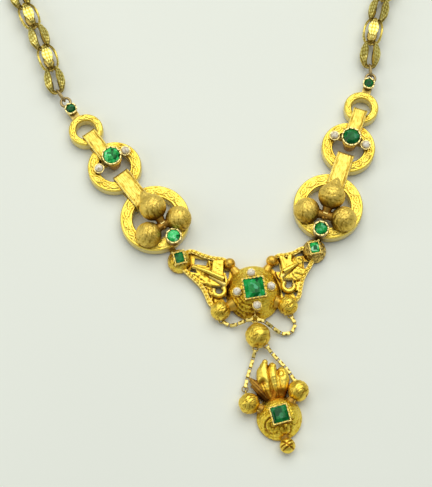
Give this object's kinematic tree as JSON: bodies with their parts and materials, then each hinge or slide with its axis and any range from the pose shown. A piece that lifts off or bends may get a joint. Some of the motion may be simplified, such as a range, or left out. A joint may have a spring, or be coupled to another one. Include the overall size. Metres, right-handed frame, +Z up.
{
  "type": "emerald necklace",
  "caption": "Gold necklace lying flat: domed centre piece with a square emerald and pearls, a hanging drop, flat rings joined by straps, and a chain of open cage links.",
  "frame": {"origin": "middle of the necklace's bounding box, on the surface that it lies on", "axes": "+Y from the drop to the clasp, +Z up from the surface, +X to the viewer's right"},
  "size_m": [0.1166, 0.2038, 0.009],
  "materials": {
    "gold": "bright yellow gold, engraved",
    "pale_gold": "paler worn gold",
    "matt_gold": "matt, finely hatched gold",
    "emerald": "polished facets",
    "pearl": "soft lustre"
  },
  "bodies": {
    "root": {"centre_piece": "gold", "emerald_centre": "emerald", "pearl_centre_top": "pearl", "pearl_centre_right": "pearl", "pearl_centre_bottom": "pearl", "pearl_centre_left": "pearl", "emerald_link_left": "emerald", "emerald_link_right": "emerald", "large_ring_left": "matt_gold", "large_ring_right": "matt_gold", "emerald_large_left": "emerald", "emerald_large_right": "emerald", "lower_strap_left": "gold", "lower_strap_right": "gold", "middle_ring_left": "gold", "middle_ring_right": "gold", "emerald_middle_left": "emerald", "emerald_middle_right": "emerald", "pearl_middle_left_outer": "pearl", "pearl_middle_left_inner": "pearl", "pearl_middle_right_outer": "pearl", "pearl_middle_right_inner": "pearl", "upper_strap_left": "gold", "upper_strap_right": "gold", "small_ring_left": "pale_gold", "small_ring_right": "pale_gold", "emerald_end_left": "emerald", "emerald_end_right": "emerald", "jump_ring_left": "pale_gold", "jump_ring_right": "pale_gold", "neck_chain_left": "gold", "neck_chain_right": "gold", "clasp": "gold", "swag_ring": "gold", "swag_chain_left": "pale_gold", "swag_chain_right": "pale_gold", "swag_ball": "gold", "drop_chain_left": "pale_gold", "drop_chain_right": "pale_gold", "drop_ring": "pale_gold", "drop": "gold", "emerald_drop": "emerald"}
  },
  "joints": []
}
